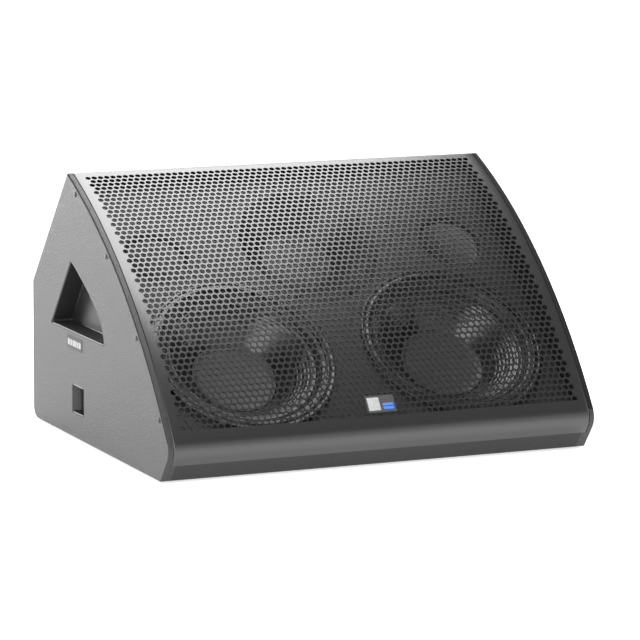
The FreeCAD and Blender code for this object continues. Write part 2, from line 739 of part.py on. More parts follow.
def audio_loop():
    """Male socket: wide bore with three pins."""
    body = drill_flange(socket_flange()).cut(Part.makeCylinder(9.6, 16, Vector(0, 0, -13)))
    for angle in (90, 210, 330):
        a = math.radians(angle)
        body = body.fuse(Part.makeCylinder(1.2, 11, Vector(3.9 * math.cos(a), 3.9 * math.sin(a), -13)))
    return face_y(body.removeSplitter(), CONNECTORS["audio_loop"][0], TRAY_FLOOR, CONNECTORS["audio_loop"][1])


def power_socket(name):
    """Round locking mains socket: bore, keyed centre post and two key slots."""
    body = drill_flange(socket_flange()).cut(Part.makeCylinder(10.2, 16, Vector(0, 0, -14)))
    post = Part.makeCylinder(5.6, 13, Vector(0, 0, -14))
    for i in range(3):
        slit = Part.makeBox(3.2, 1.4, 12, Vector(1.6, -0.7, -9)).rotated(
            Vector(0, 0, 0), Vector(0, 0, 1), 120 * i + 30)
        post = post.cut(slit)
    keys = [Part.makeBox(3, 2.2, 16, Vector(side * 10.0 - 1.5, -1.1, -12)) for side in (-1, 1)]
    body = body.cut(keys).fuse(post).removeSplitter()
    return face_y(body, CONNECTORS[name][0], TRAY_FLOOR, CONNECTORS[name][1])


def led_places():
    return [(52.0 + 13.0 * i, TRAY_Z1 - 12) for i in range(3)]


def status_leds():
    lens = Part.makeCylinder(2.5, 3.5, Vector(0, 0, -2)).fuse(Part.makeSphere(2.5, Vector(0, 0, 1.5)))
    return Part.makeCompound([face_y(lens, x, TRAY_FLOOR, z) for x, z in led_places()])


def amp_screws():
    rim_screw = button_screw(3.8, 2.0, 1.9, 12.0, 1.4)
    small = button_screw(2.6, 1.4, 1.3, 7.0, 0.9)
    pieces = [face_y(rim_screw, x, RIM_Y, z) for x, z in tray_screw_places()]
    pieces += [face_y(small, x, TRAY_FLOOR + 2.4, z) for x, z in connector_screw_places()]
    return Part.makeCompound(pieces)


# ---------------------------------------------------------------- feet and wiring
def foot_places():
    return [(x, y) for x in (-325.0, 0.0, 325.0) for y in (-225.0, 265.0)]


def rubber_feet():
    foot = turned([
        (2.3, 0), (14, 0), (15, -1.0), (15, -FOOT_H), (4.9, -FOOT_H), (4.9, -1.4), (2.3, -1.4),
    ])
    pieces = []
    for x, y in foot_places():
        one = foot.copy()
        one.translate(Vector(x, y, 0))
        pieces.append(one)
    return Part.makeCompound(pieces)


def foot_screws():
    screw = button_screw(4.4, 1.2, 1.9, 12.0, 1.2)
    pieces = []
    for x, y in foot_places():
        one = screw.copy()
        one.Placement = Placement(Vector(x, y, -1.4), Rotation(Vector(1, 0, 0), 180))
        pieces.append(one)
    return Part.makeCompound(pieces)


def speaker_leads():
    """Three leads from the amplifier's cover: one to each woofer's terminals, one to the high driver."""
    start = TRAY_Z1 - 7
    end = from_face(WOOFER_T + TERMINAL[0], BAFFLE_W + TERMINAL[1])
    above = from_face(WOOFER_T + TERMINAL[0] + 40, BAFFLE_W + TERMINAL[1])
    side = [(6, LEAD_Y, start), (6, LEAD_Y, 214), (110, 190, 208), (WOOFER_X, 60, 225),
            (WOOFER_X, *above), (WOOFER_X, *end)]
    right = pipe(side, 2.6, 14)
    reach = HORN_T + DRIVER_R
    wall = from_face(reach, BAFFLE_W - 150)
    over = from_face(reach + 38, BAFFLE_W - 150)
    high = pipe([(0, LEAD_Y, start), (0, LEAD_Y, over[1]), (0, *over), (0, *wall)], 2.6, 12)
    return Part.makeCompound([right, mirrored(right), high])


# ---------------------------------------------------------------- saving
def save(name, shape):
    """Writes one sub-part, with the floor at z = 0 and the depth centred on y = 0."""
    moved = shape.copy()
    moved.translate(Vector(0, -Y_MID, FOOT_H))
    moved.exportStep("parts/" + name + ".step")


def save_pair(name, shape):
    save(name + "_right", shape)
    save(name + "_left", mirrored(shape))


save_pair("side_panel", side_panel())
save("bottom_panel", bottom_panel())
save("back_panel", back_panel())
save("slope_panel", slope_panel())
save("nose_panel", nose_panel())
save("nose_rail", nose_rail())
save("baffle", baffle())
save("battens", battens())
save("grille", grille())
save("grille_screws", grille_screws())
save("grille_foam", grille_foam())
save("badge", badge())
save("label_plate", label_plate())
save_pair("handle_cup", cup(pocket_wire(), POCKET_DEPTH))
save_pair("side_recess", cup(recess_wire(), RECESS_DEPTH))

WOOFER_PARTS = {
    "basket": woofer_basket, "gasket": woofer_gasket, "surround": woofer_surround,
    "cone": woofer_cone, "dust_cap": woofer_dust_cap, "voice_coil": woofer_voice_coil,
    "spider": woofer_spider, "motor": woofer_motor,
}
for part, build in WOOFER_PARTS.items():
    made = build()
    save("woofer_" + part + "_left", on_face(made, -WOOFER_X, WOOFER_T, BAFFLE_W))
    save("woofer_" + part + "_right", on_face(made, WOOFER_X, WOOFER_T, BAFFLE_W))
save("woofer_screws", Part.makeCompound(woofer_screws()))
save("woofer_terminals", woofer_terminals())

save("horn", on_face(horn(), 0, HORN_T, BAFFLE_W))
save("throat_screen", on_face(throat_screen(), 0, HORN_T, BAFFLE_W))
save("compression_driver", on_face(compression_driver(), 0, HORN_T, BAFFLE_W))
save("hf_diaphragm", on_face(hf_diaphragm(), 0, HORN_T, BAFFLE_W))
save("driver_cap", on_face(driver_cap(), 0, HORN_T, BAFFLE_W))
save("horn_screws", Part.makeCompound(horn_screws()))
save("port_tube_left", on_face(port_tube(), -PORT_X, PORT_T, BAFFLE_W))
save("port_tube_right", on_face(port_tube(), PORT_X, PORT_T, BAFFLE_W))

save("amp_tray", amp_tray())
save("amp_heatsink", amp_heatsink())
save("amp_chassis", amp_chassis())
save("amp_board", amp_board())
save("power_transformer", power_transformer())
save("amp_screws", amp_screws())
save("audio_input", audio_input())
save("audio_loop", audio_loop())
save("latch_tab", latch_tab())
save("power_inlet", power_socket("power_inlet"))
save("power_loop", power_socket("power_loop"))
save("status_leds", status_leds())
save("rubber_feet", rubber_feet())
save("foot_screws", foot_screws())
save("speaker_leads", speaker_leads())
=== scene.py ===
import math

import bpy
import numpy as np
from mathutils import Matrix, Vector


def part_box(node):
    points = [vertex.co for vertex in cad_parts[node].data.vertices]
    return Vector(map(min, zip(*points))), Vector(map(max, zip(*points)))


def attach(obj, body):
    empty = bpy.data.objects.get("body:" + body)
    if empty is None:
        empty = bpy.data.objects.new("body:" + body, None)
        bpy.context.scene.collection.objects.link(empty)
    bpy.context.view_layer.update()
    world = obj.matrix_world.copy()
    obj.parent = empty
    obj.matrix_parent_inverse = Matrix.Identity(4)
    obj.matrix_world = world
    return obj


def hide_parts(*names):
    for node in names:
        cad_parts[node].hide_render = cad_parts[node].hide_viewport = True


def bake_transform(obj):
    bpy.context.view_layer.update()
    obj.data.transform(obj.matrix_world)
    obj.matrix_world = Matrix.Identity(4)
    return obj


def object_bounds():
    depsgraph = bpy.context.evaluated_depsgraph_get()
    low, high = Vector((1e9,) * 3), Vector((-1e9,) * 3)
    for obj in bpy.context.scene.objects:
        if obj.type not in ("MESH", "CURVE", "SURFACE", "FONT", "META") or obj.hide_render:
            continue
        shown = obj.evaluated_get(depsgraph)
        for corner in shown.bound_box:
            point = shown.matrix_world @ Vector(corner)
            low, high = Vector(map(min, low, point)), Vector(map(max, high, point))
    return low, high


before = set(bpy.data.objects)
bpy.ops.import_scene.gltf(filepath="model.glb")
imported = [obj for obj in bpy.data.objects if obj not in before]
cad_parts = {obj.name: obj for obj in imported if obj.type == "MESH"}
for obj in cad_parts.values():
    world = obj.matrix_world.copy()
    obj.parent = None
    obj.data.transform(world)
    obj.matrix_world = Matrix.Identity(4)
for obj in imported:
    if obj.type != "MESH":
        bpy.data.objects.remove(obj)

cad_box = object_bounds()

# ---------------------------------------------------------------- the cabinet's own measures (metres)
# Cabinet axes: x across, y to the back, z up from the underside. SHIFT brings them into the frame.
# The corners of the side view are (y, z), and its curved face is an arc from APEX to NOSE. On the
# face, t runs up along the arc's chord from its middle, and w runs outwards from the chord.
MM = 0.001
BACK_Y = 316.4 * MM
APEX = (145.2 * MM, 439.6 * MM)
KNEE = (BACK_Y, 235.7 * MM)
NOSE = (-312.4 * MM, 53.0 * MM)
TOE = (-271.5 * MM, 0.0)
FACE_RISE = 45.3 * MM  # the arc's greatest height over its chord
APEX_R = 4 * MM
NOSE_R = 30 * MM
BAFFLE_W = -19 * MM  # the baffle's front
WOOFER_X = 187 * MM
WOOFER_T = -103.5 * MM
HORN_T = 133.1 * MM
PORT_X = 267 * MM
PORT_T = 118.1 * MM
BADGE_T = -245 * MM

SHIFT = Vector((0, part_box("back_panel")[1].y - BACK_Y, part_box("side_panel_left")[0].z))
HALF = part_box("side_panel_right")[1].x  # from the middle to the outside of a side panel
CHORD_MID = ((APEX[0] + NOSE[0]) / 2, (APEX[1] + NOSE[1]) / 2)
CHORD = math.hypot(APEX[0] - NOSE[0], APEX[1] - NOSE[1])
TILT = math.atan2(APEX[1] - NOSE[1], APEX[0] - NOSE[0])
FACE = Matrix.Translation(SHIFT + Vector((0, *CHORD_MID))) @ Matrix.Rotation(TILT, 4, "X")
ARC_R = (CHORD ** 2 / 4 + FACE_RISE ** 2) / (2 * FACE_RISE)
UP = np.array((math.cos(TILT), math.sin(TILT)))
OUT = np.array((-math.sin(TILT), math.cos(TILT)))
ARC_C = np.array(CHORD_MID) + OUT * (FACE_RISE - ARC_R)


# ---------------------------------------------------------------- materials
def node(tree, kind, x=0, **values):
    """A new shader node, with its sockets and settings given by name."""
    made = tree.nodes.new("ShaderNode" + kind)
    made.location.x = x
    for name, value in values.items():
        if name in made.inputs:
            made.inputs[name].default_value = value
        else:
            setattr(made, name, value)
    return made


def ranged(tree, value, x, source=(0.0, 1.0), target=(0.0, 1.0)):
    """A value mapped from the source range to the target range, and held inside it."""
    made = node(tree, "MapRange", x)
    made.inputs["From Min"].default_value, made.inputs["From Max"].default_value = source
    made.inputs["To Min"].default_value, made.inputs["To Max"].default_value = target
    tree.links.new(value, made.inputs["Value"])
    return made.outputs["Result"]


def duller(tree, gloss, mask):
    """The roughness where the mask is 1, rising to fully rough where it is 0."""
    over = node(tree, "MapRange", -150)
    over.inputs["To Min"].default_value = 1.0
    tree.links.new(mask, over.inputs["Value"])
    tree.links.new(gloss, over.inputs["To Max"])
    return over.outputs["Result"]


def distance_along(tree, where, axis):
    """How far a point is along an axis."""
    made = node(tree, "VectorMath", -700, operation="DOT_PRODUCT")
    made.inputs[1].default_value = axis
    tree.links.new(where, made.inputs[0])
    return made.outputs["Value"]


def combined(tree, operation, first, second, x):
    """Two linked vectors, or for SCALE a vector and a value, put together."""
    made = node(tree, "VectorMath", x, operation=operation)
    tree.links.new(first, made.inputs[0])
    tree.links.new(second, made.inputs["Scale" if operation == "SCALE" else 1])
    return made.outputs["Vector"]


def edge_shade_mask(tree, where, edge_shade):
    """1 on the paint and a darker tone of painted shade on a line along the face's arc, where the side
    panel's edge rounds off; the line stops above the nose.
    """
    flat = node(tree, "VectorMath", -900, operation="MULTIPLY")
    flat.inputs[1].default_value = (0, 1, 1)
    reach = node(tree, "VectorMath", -700, operation="DISTANCE")
    reach.inputs[1].default_value = (0, ARC_C[0] + SHIFT.y, ARC_C[1] + SHIFT.z)
    tree.links.new(where, flat.inputs[0])
    tree.links.new(flat.outputs["Vector"], reach.inputs[0])
    line = node(tree, "ValToRGB", -400)
    for end in line.color_ramp.elements:
        end.color = (1, 1, 1, 1)
    for position in (0.2, 0.8):
        line.color_ramp.elements.new(position).color = (EDGE_SHADE_TONE, EDGE_SHADE_TONE, EDGE_SHADE_TONE, 1)
    tree.links.new(ranged(tree, reach.outputs["Value"], -550, edge_shade), line.inputs["Fac"])
    height = distance_along(tree, where, (0, *UP))
    stop = ranged(tree, height, -400, (EDGE_SHADE_END - MM, EDGE_SHADE_END), (1.0, 0.0))
    return combined(tree, "MAXIMUM", stop, line.outputs["Color"], -300)


def surface(name, dark, light, rough=(0.5, 0.6), size=1.4, stretch=(1, 1, 1), relief=0.12,
            cloud=0.0, cloud_size=60.0, inside=None, edge_shade=None, **sockets):
    """A finish whose colour, roughness and relief follow one fine grain. Sizes are in mm.
    cloud is how much a second, large pattern varies the colour, as handling and dust do.
    inside is (axis, distance in m): points less far along the axis are in the cabinet, and take painted
    shade, near black and fully rough.
    The argument after inside is (nearest, farthest) in m from the face arc's centre: a line of painted
    shade, darker and fully rough, runs between them."""
    made = bpy.data.materials.new(name)
    made.use_nodes = True
    tree = made.node_tree
    shader = tree.nodes["Principled BSDF"]
    for socket, value in sockets.items():
        shader.inputs[socket.replace("_", " ").title().replace("Ior", "IOR")].default_value = value
    where = node(tree, "TexCoord", -1400)
    scale = node(tree, "Mapping", -1200)
    scale.inputs["Scale"].default_value = stretch
    tree.links.new(where.outputs["Object"], scale.inputs["Vector"])
    grain = node(tree, "TexNoise", -1000, Scale=1000.0 / size, Detail=3.0, Roughness=0.6)
    tree.links.new(scale.outputs["Vector"], grain.inputs["Vector"])
    colour = node(tree, "ValToRGB", -700)
    for end, position, tone in zip(colour.color_ramp.elements, (0.32, 0.68), (dark, light)):
        end.position = position
        end.color = (*tone, 1)
    tree.links.new(grain.outputs["Fac"], colour.inputs["Fac"])
    out = colour.outputs["Color"]
    if cloud:
        wide = node(tree, "TexNoise", -1000, Scale=1000.0 / cloud_size, Detail=4.0, Roughness=0.55)
        tree.links.new(where.outputs["Object"], wide.inputs["Vector"])
        level = ranged(tree, wide.outputs["Fac"], -700, (0.3, 0.7), (1 - cloud, 1 + cloud))
        out = combined(tree, "SCALE", out, level, -450)
    gloss = ranged(tree, grain.outputs["Fac"], -450, target=rough)
    # Painted shade on the cabinet's inside faces: the colour is darkened and the gloss dulled.
    if inside:
        axis, depth = inside
        outer = ranged(tree, distance_along(tree, where.outputs["Object"], axis), -450,
                       (depth, depth + INSIDE_FADE), (INSIDE_SHADE_TONE, 1.0))
        out = combined(tree, "SCALE", out, outer, -300)
        gloss = duller(tree, gloss, outer)
    # Painted shade along the side panels' rounded front edge: a darker, fully rough line.
    if edge_shade:
        held = edge_shade_mask(tree, where.outputs["Object"], edge_shade)
        out = combined(tree, "MULTIPLY", out, held, -200)
        gloss = duller(tree, gloss, held)
    tree.links.new(out, shader.inputs["Base Color"])
    tree.links.new(gloss, shader.inputs["Roughness"])
    bump = node(tree, "Bump", -250)
    bump.inputs["Distance"].default_value = relief * MM
    tree.links.new(grain.outputs["Fac"], bump.inputs["Height"])
    tree.links.new(bump.outputs["Normal"], shader.inputs["Normal"])
    return made


def grey(low, high):
    """The dark and the light colour of a finish without any tint."""
    return (low,) * 3, (high,) * 3


PAINT_GREYS = grey(0.010, 0.040)
PAINT = dict(rough=(0.30, 0.66), size=2.0, relief=0.85, cloud=0.08, cloud_size=90)
PANEL_SKIN = 17.8 * MM  # how much of a side panel's thickness keeps the paint; further in is painted shade
SLOPE_SKIN = 1.2 * MM
INSIDE_FADE = 0.3 * MM  # over how much depth the paint gives way to the painted shade inside
# How dark the painted shade on the cabinet's inside faces is, as a share of the paint's colour.
INSIDE_SHADE_TONE = 0.12
# A line of painted shade along each side panel's rounded front edge, darker and fully rough. It is wider on
# the right panel.
EDGE_SHADE_TONE = 0.05
EDGE_SHADE_LEFT = (ARC_R - 3.4 * MM, ARC_R - 0.6 * MM)
EDGE_SHADE_RIGHT = (ARC_R - 3.6 * MM, ARC_R + 4.0 * MM)
EDGE_SHADE_END_T = -281 * MM  # the place on the face where the lines of painted shade stop
IN_FRAME = np.array((SHIFT.y, SHIFT.z))
EDGE_SHADE_END = float(UP @ (np.array(CHORD_MID) + IN_FRAME)) + EDGE_SHADE_END_T
SLOPE_OUT = np.array((APEX[1] - KNEE[1], KNEE[0] - APEX[0])) / math.dist(APEX, KNEE)
SLOPE_DEPTH = float(SLOPE_OUT @ (np.array(APEX) + IN_FRAME)) - SLOPE_SKIN

CABINET = surface("cabinet_paint", *PAINT_GREYS, **PAINT)
# The side and slope panels' paint carries painted shade on its inside faces. The side panels' paint also
# carries a line of painted shade along the front edge.
CABINET_LEFT = surface("cabinet_paint_left", *PAINT_GREYS, inside=((-1, 0, 0), HALF - PANEL_SKIN),
                       edge_shade=EDGE_SHADE_LEFT, **PAINT)
CABINET_RIGHT = surface("cabinet_paint_right", *PAINT_GREYS, inside=((1, 0, 0), HALF - PANEL_SKIN),
                        edge_shade=EDGE_SHADE_RIGHT, **PAINT)
CABINET_SLOPE = surface("cabinet_paint_slope", *PAINT_GREYS, inside=((0, *SLOPE_OUT), SLOPE_DEPTH), **PAINT)
# A darker copy of the cabinet paint for the nose panel, which faces down and forwards: painted shade.
NOSE_SHADED_PAINT = surface("nose_paint_shaded", *grey(0.004, 0.014), rough=(0.42, 0.66), size=2.4, relief=0.5, cloud=0.08)
BAFFLE = surface("baffle_paint", *grey(0.026, 0.040), rough=(0.42, 0.6), size=1.2, relief=0.2)
WOOD = surface("raw_wood", (0.30, 0.19, 0.10), (0.52, 0.36, 0.21), rough=(0.6, 0.8), size=3.0,
               stretch=(0.06, 1, 1), relief=0.1, cloud=0.15)
GRILLE = surface("grille_paint", *grey(0.006, 0.012), rough=(0.27, 0.37), size=0.9, relief=0.05,
                 cloud=0.05, specular_ior_level=1.0)
SCREW = surface("screw_black", *grey(0.03, 0.05), rough=(0.25, 0.4), size=0.5, relief=0.02, metallic=0.7)
STEEL = surface("screw_steel", *grey(0.06, 0.10), rough=(0.25, 0.4), size=0.5, relief=0.02, metallic=0.8)
FOAM = surface("foam", *grey(0.015, 0.03), rough=(0.85, 0.95), size=0.8, relief=0.4)
BADGE = surface("badge_plate", *grey(0.07, 0.10), rough=(0.3, 0.42), size=0.6, relief=0.03, metallic=0.3)
LABEL = surface("label_plate", *grey(0.016, 0.026), rough=(0.34, 0.46), size=0.8, relief=0.03,
                specular_ior_level=0.22)
PRINT = surface("label_print", *grey(0.30, 0.38), rough=(0.5, 0.6), size=0.8, relief=0.02)
LINER = surface("liner_plastic", *grey(0.010, 0.020), rough=(0.28, 0.40), size=0.8, relief=0.06)
# A darker, duller copy of the liner plastic for the handle pocket's ledge: painted shade.
LINER_LEDGE_SHADED = surface("liner_ledge_shaded", *grey(0.004, 0.008), rough=(0.6, 0.75), size=0.8, relief=0.1)
# A lighter copy of the liner plastic for the side recess's back wall: painted light.
RECESS_WALL_LIT = surface("recess_wall_lit", *grey(0.05, 0.09), rough=(0.5, 0.65), size=0.8, relief=0.1)
# The port tube's plastic, light grey to stand in for light on its inside: painted light.
PORT_LIT = surface("port_plastic_lit", *grey(0.30, 0.38), rough=(0.30, 0.42), size=0.9, relief=0.05)
CASTING = surface("basket_metal", *grey(0.06, 0.09), rough=(0.5, 0.65), size=1.0, relief=0.15, metallic=0.4)
GASKET = surface("gasket_rubber", *grey(0.012, 0.022), rough=(0.2, 0.28), size=0.8, relief=0.03,
                 specular_ior_level=0.9)
CLOTH = surface("surround_cloth", *grey(0.006, 0.014), rough=(0.26, 0.38), size=0.7, relief=0.05,
                specular_ior_level=0.9)
PAPER = surface("cone_paper", *grey(0.005, 0.010), rough=(0.18, 0.27), size=2.2, relief=0.06,
                specular_ior_level=1.0)
CAP = surface("cap_paper", *grey(0.05, 0.07), rough=(0.34, 0.46), size=1.3, relief=0.05)
COPPER = surface("coil_copper", (0.50, 0.20, 0.09), (0.75, 0.34, 0.17), rough=(0.3, 0.45), size=0.35,
                 stretch=(0.05, 1, 1), relief=0.1, metallic=1.0)
MOTOR = surface("motor_steel", *grey(0.10, 0.16), rough=(0.35, 0.5), size=0.8, relief=0.04, metallic=0.8)
TERMINAL = surface("terminal_plastic", *grey(0.03, 0.05), rough=(0.4, 0.5), size=0.8, relief=0.03)
HORN = surface("horn_plastic", *grey(0.008, 0.014), rough=(0.30, 0.42), size=0.9, relief=0.06)
SCREEN = surface("screen_mesh", *grey(0.05, 0.11), rough=(0.5, 0.65), size=0.9, relief=0.2, metallic=0.3)
DOME = surface("dome_metal", *grey(0.4, 0.5), rough=(0.25, 0.35), size=0.6, relief=0.02, metallic=1.0)
TRAY = surface("tray_metal", *grey(0.035, 0.05), rough=(0.42, 0.55), size=0.8, relief=0.08)
HEATSINK = surface("heatsink_metal", *grey(0.02, 0.035), rough=(0.35, 0.5), size=0.5, stretch=(1, 1, 0.05),
                   relief=0.03, metallic=0.6)
BOARD = surface("circuit_board", (0.01, 0.09, 0.03), (0.02, 0.14, 0.05), rough=(0.3, 0.45), size=2.5,
                relief=0.05)
SOCKET = surface("socket_metal", *grey(0.05, 0.08), rough=(0.3, 0.45), size=0.7, relief=0.04, metallic=0.8)
LATCH = surface("latch_plastic", *grey(0.30, 0.40), rough=(0.35, 0.5), size=0.7, relief=0.03)
SOCKET_BLUE = surface("socket_blue", (0.01, 0.05, 0.30), (0.02, 0.08, 0.40), rough=(0.35, 0.5), size=0.8,
                      relief=0.04)
SOCKET_GREY = surface("socket_grey", *grey(0.35, 0.45), rough=(0.4, 0.55), size=0.8, relief=0.04)
LENS = surface("led_lens", (0.02, 0.30, 0.06), (0.05, 0.45, 0.10), rough=(0.1, 0.2), size=1.0, relief=0.01,
               transmission_weight=0.5)
RUBBER = surface("foot_rubber", *grey(0.02, 0.035), rough=(0.7, 0.85), size=0.7, relief=0.12)
JACKET = surface("lead_jacket", *grey(0.03, 0.05), rough=(0.45, 0.6), size=1.2, relief=0.05)
SILVER = surface("badge_silver", *grey(0.45, 0.75), rough=(0.35, 0.5), size=1.6, stretch=(1, 0.3, 1),
                 relief=0.05, metallic=0.5)
BLUE = surface("badge_blue", (0.05, 0.16, 0.55), (0.08, 0.24, 0.72), rough=(0.35, 0.45), size=0.8,
               relief=0.02)
FLOOR_PAPER = surface("floor_paper", *grey(0.86, 0.9), rough=(0.7, 0.8), size=8, relief=0.02,
                      emission_color=(1, 1, 1, 1), emission_strength=0.65)

FINISHES = {
    CABINET: ["bottom_panel", "back_panel"],
    NOSE_SHADED_PAINT: ["nose_panel"],
    CABINET_LEFT: ["side_panel_left"],
    CABINET_RIGHT: ["side_panel_right"],
    CABINET_SLOPE: ["slope_panel"],
    WOOD: ["battens"],
    BAFFLE: ["baffle", "nose_rail"],
    STEEL: ["grille_screws"],
    SCREW: ["woofer_screws", "horn_screws", "amp_screws", "foot_screws"],
    FOAM: ["grille_foam"],
    LABEL: ["label_plate"],
    CASTING: ["woofer_basket_left", "woofer_basket_right"],
    COPPER: ["woofer_voice_coil_left", "woofer_voice_coil_right", "power_transformer"],
    MOTOR: ["woofer_motor_left", "woofer_motor_right", "compression_driver", "driver_cap"],
    TERMINAL: ["woofer_terminals"],
    DOME: ["hf_diaphragm"],
    TRAY: ["amp_tray", "amp_chassis"],
    HEATSINK: ["amp_heatsink"],
    BOARD: ["amp_board"],
    SOCKET: ["audio_input", "audio_loop"],
    LATCH: ["latch_tab"],
    SOCKET_BLUE: ["power_inlet"],
    SOCKET_GREY: ["power_loop"],
    LENS: ["status_leds"],
    RUBBER: ["rubber_feet"],
    JACKET: ["speaker_leads"],
}
for finish, names in FINISHES.items():
    for name in names:
        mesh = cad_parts[name].data
        mesh.materials.clear()
        mesh.materials.append(finish)


# ---------------------------------------------------------------- meshes
WELD_GAP = 0.002 * MM  # points nearer than this become one


def piece(name, verts, faces, finish, body, nodes, sharp=32.0, thickness=0.0, second=()):
    """A new visible piece that rides on a body and stands for CAD nodes. The faces in second
    take the second of its finishes."""
    mesh = bpy.data.meshes.new(name)
    mesh.from_pydata([tuple(v) for v in verts], [], faces)
    finishes = finish if isinstance(finish, (list, tuple)) else [finish]
    for one in finishes:
        mesh.materials.append(one)
    for index in second:
        mesh.polygons[index].material_index = 1
    made = bpy.data.objects.new(name, mesh)
    bpy.context.scene.collection.objects.link(made)
    weld = made.modifiers.new("weld", "WELD")
    weld.merge_threshold = WELD_GAP
    if thickness:
        solid = made.modifiers.new("solid", "SOLIDIFY")
        solid.thickness = thickness
        solid.offset = -1
        solid.use_quality_normals = True
    depsgraph = bpy.context.evaluated_depsgraph_get()
    final = bpy.data.meshes.new_from_object(made.evaluated_get(depsgraph))
    made.modifiers.clear()
    made.data = final
    bpy.data.meshes.remove(mesh)
    final.name = name
    final.shade_smooth()
    final.set_sharp_from_angle(angle=math.radians(sharp))
    if nodes:
        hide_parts(*nodes)
    if body:
        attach(made, body)
    return made


def bands(rings, count, start=0):
    """The faces between successive rings of count points each."""
    faces = []
    for i in range(rings - 1):
        for a in range(count):
            b = (a + 1) % count
            near, far = start + i * count, start + (i + 1) * count
            faces.append((near + a, near + b, far + b, far + a))
    return faces


def capped(rings, count):
    """The faces between the rings, and one that closes each end."""
    return bands(rings, count) + [
        tuple(range(count - 1, -1, -1)),
        tuple((rings - 1) * count + a for a in range(count)),
    ]


def lathe(profile, place, segments=144):
    """A closed (radius, height) outline in mm, turned about the local z axis. The outline runs
    so that the solid lies on its left: up the outside, then down the inside."""
    angles = np.arange(segments) * 2 * math.pi / segments
    verts = []
    for r, z in profile:
        ring = np.stack([r * np.cos(angles), r * np.sin(angles), np.full(segments, z)], 1) * MM
        verts.extend(ring)
    verts = place_all(verts, place)
    faces = []
    count = len(profile)
    for i in range(count):
        j = (i + 1) % count
        if profile[i][0] < 1e-6 and profile[j][0] < 1e-6:
            continue
        for a in range(segments):
            b = (a + 1) % segments
            faces.append((i * segments + a, i * segments + b, j * segments + b, j * segments + a))
    return verts, faces


def place_all(points, place):
    """The points moved by a matrix."""
    matrix = np.array(place)
    return np.asarray(points, float) @ matrix[:3, :3].T + matrix[:3, 3]


def on_face(x, t, w):
    """The axes of a part that looks out of the face."""
    return FACE @ Matrix.Translation((x, t, w))


def side_name(side):
    return "right" if side > 0 else "left"


# ---------------------------------------------------------------- grille
PITCH_X = 11.0 * MM
PITCH_S = 10.983 * MM  # between the rows, along the arc
FIRST_ROW = 283.9 * MM  # along the arc from its middle
ROWS = 51
HOLES = 64
HOLE_HALF = 4.45 * MM  # half of a hole's width
HOLE_TALL = 5.15 * MM  # half of its height
SHEET_T = 1.5 * MM
BEND_R = 2.0 * MM  # where the sheet turns into its side flanges
BEND_STEPS = 5
FLANGE_DEPTH = 20 * MM
FLANGE_TOP_T = -240 * MM  # over this place the flange is cut off level
GRILLE_RETURN = 14 * MM  # how far under the chord the top return and the level flange end
GRILLE_END = 0.46  # where the sheet ends, as a share of the bevel
GRILLE_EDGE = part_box("grille")[1].x
HEXAGON = ((0, 1), (1, 0.5), (1, -0.5), (0, -1), (-1, -0.5), (-1, 0.5))
# The steps along the sheet: on the top return, on the round over it with the strip down to the
# first row, on the strip under the last row, round the nose, and down the bevel.
RETURN_STEPS, TOP_STEPS, LOW_STEPS, NOSE_STEPS, BEVEL_STEPS = 2, 5, 5, 12, 3


def unit(v):
    v = np.asarray(v, float)
    return v / np.linalg.norm(v)


def corner_round(corner, along, inward, radius):
    """Centre of the round between the face's arc and a straight edge that leaves the corner,
    and where it touches each."""
    b = corner + radius * inward - ARC_C
    half = float(b @ along)
    u = -half - math.sqrt(half ** 2 - float(b @ b) + (ARC_R - radius) ** 2)
    centre = corner + u * along + radius * inward
    return centre, centre - radius * inward, ARC_C + unit(centre - ARC_C) * ARC_R


